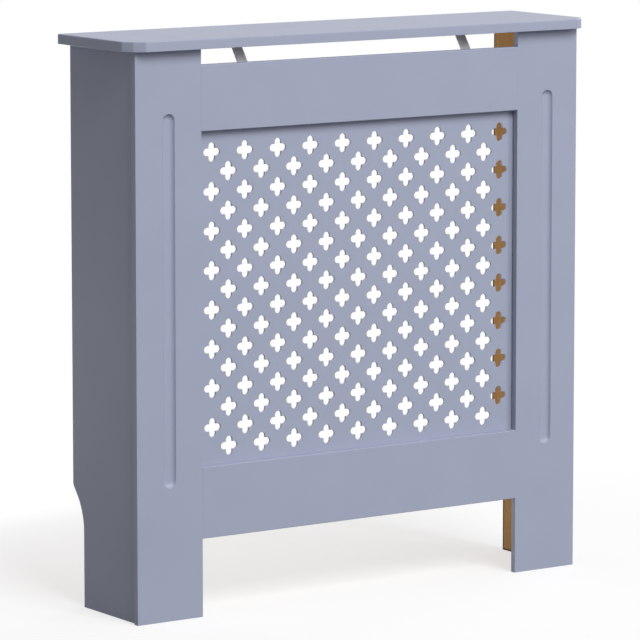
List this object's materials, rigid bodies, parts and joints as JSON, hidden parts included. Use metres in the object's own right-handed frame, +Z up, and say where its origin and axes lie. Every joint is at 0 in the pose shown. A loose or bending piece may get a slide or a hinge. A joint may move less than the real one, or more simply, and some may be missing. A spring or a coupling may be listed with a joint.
{
  "type": "radiator cover cabinet",
  "caption": "Slim cabinet that stands over a wall radiator, with a shelf top, grooved pilasters, plain rails and a pierced grille panel, open at the back and below.",
  "frame": {"origin": "on the floor, at the bottom centre of the whole cabinet's box", "axes": "+Z up, +Y towards the wall behind the cabinet, +X to the right of a viewer who faces the grille"},
  "size_m": [0.78, 0.19, 0.8],
  "materials": {
    "painted_mdf": "MDF with smooth satin grey-blue paint",
    "raw_mdf": "bare MDF, matt brown",
    "beech": "planed beech dowel",
    "zinc_steel": "zinc-plated steel strip and screws"
  },
  "bodies": {
    "root": {"bottom_rail": "painted_mdf", "bottom_rail_left_lower_dowel": "beech", "bottom_rail_left_upper_dowel": "beech", "bottom_rail_right_lower_dowel": "beech", "bottom_rail_right_upper_dowel": "beech", "grille_lower_left_screw": "zinc_steel", "grille_lower_middle_screw": "zinc_steel", "grille_lower_right_screw": "zinc_steel", "grille_panel": "painted_mdf", "grille_upper_left_screw": "zinc_steel", "grille_upper_middle_screw": "zinc_steel", "grille_upper_right_screw": "zinc_steel", "left_bracket_left_screw": "zinc_steel", "left_bracket_right_screw": "zinc_steel", "left_corner_batten": "raw_mdf", "left_pilaster": "painted_mdf", "left_side_lower_dowel": "beech", "left_side_middle_dowel": "beech", "left_side_panel": "painted_mdf", "left_side_upper_dowel": "beech", "left_strap_front_screw": "zinc_steel", "left_strap_lower_screw": "zinc_steel", "left_strap_rear_screw": "zinc_steel", "left_strap_upper_screw": "zinc_steel", "left_top_strap": "zinc_steel", "left_wall_bracket": "zinc_steel", "right_bracket_left_screw": "zinc_steel", "right_bracket_right_screw": "zinc_steel", "right_corner_batten": "raw_mdf", "right_pilaster": "painted_mdf", "right_side_lower_dowel": "beech", "right_side_middle_dowel": "beech", "right_side_panel": "painted_mdf", "right_side_upper_dowel": "beech", "right_strap_front_screw": "zinc_steel", "right_strap_lower_screw": "zinc_steel", "right_strap_rear_screw": "zinc_steel", "right_strap_upper_screw": "zinc_steel", "right_top_strap": "zinc_steel", "right_wall_bracket": "zinc_steel", "top_board": "painted_mdf", "top_left_front_dowel": "beech", "top_left_rear_dowel": "beech", "top_rail": "painted_mdf", "top_rail_left_lower_dowel": "beech", "top_rail_left_upper_dowel": "beech", "top_rail_right_lower_dowel": "beech", "top_rail_right_upper_dowel": "beech", "top_right_front_dowel": "beech", "top_right_rear_dowel": "beech"}
  },
  "joints": []
}
